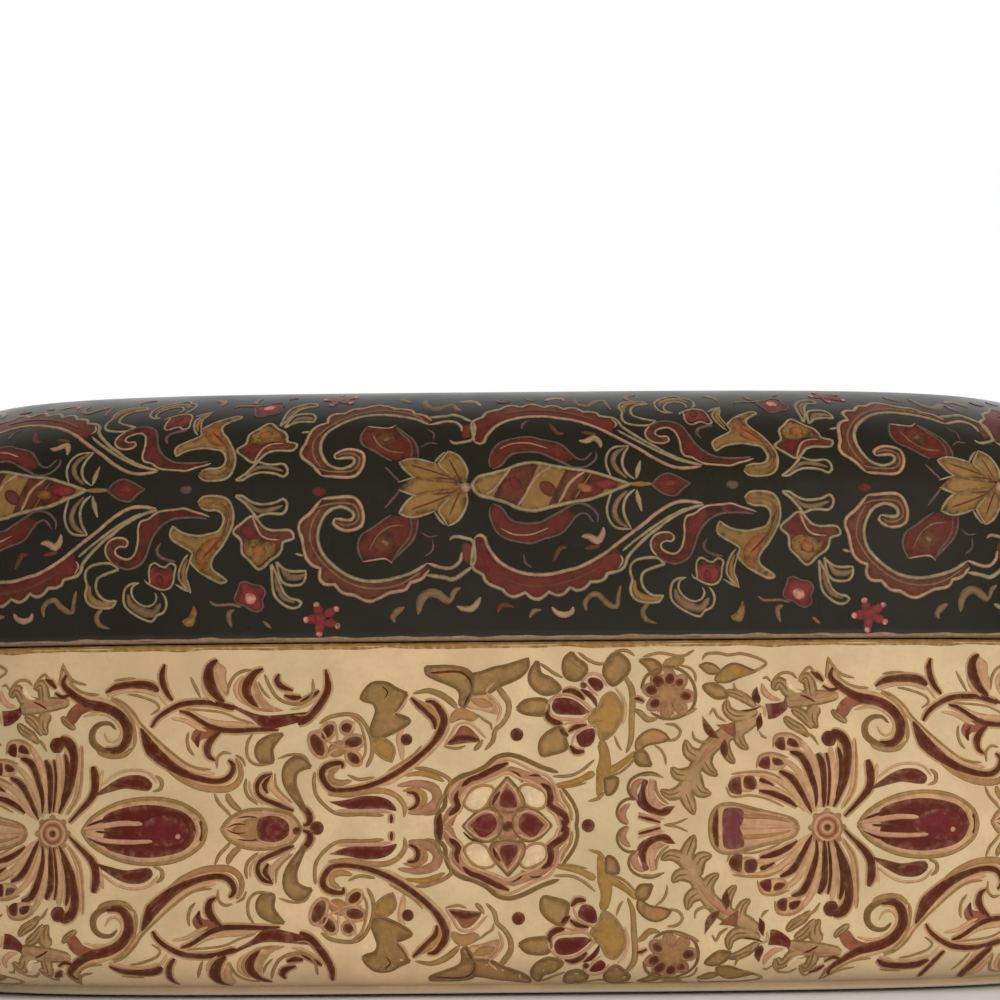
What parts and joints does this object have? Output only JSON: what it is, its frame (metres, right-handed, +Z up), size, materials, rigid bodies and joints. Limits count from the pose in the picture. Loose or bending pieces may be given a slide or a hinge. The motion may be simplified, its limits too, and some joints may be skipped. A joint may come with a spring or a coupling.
{
  "type": "lidded ceramic box",
  "caption": "Cushion-shaped ceramic box: a straight-sided cream container on a low foot ring, and a dark domed lid with a locating flange that lifts off.",
  "frame": {"origin": "middle of the foot ring, on the surface that the box stands on", "axes": "+X along the length of the box, +Z up, and -Y out of the long side that the picture shows"},
  "size_m": [0.1994, 0.1334, 0.0956],
  "materials": {
    "cream_glaze": "glossy cream glaze with raised painted scrollwork",
    "dark_glaze": "glossy green-black glaze with raised painted scrollwork"
  },
  "bodies": {
    "body": {"box_body": "cream_glaze"},
    "lid": {"lid": "dark_glaze"}
  },
  "joints": [
    {"name": "lid_lift", "type": "slide", "parent": "body", "child": "lid", "axis": [0, 0, 1], "range_m": [0, 0.1]}
  ]
}
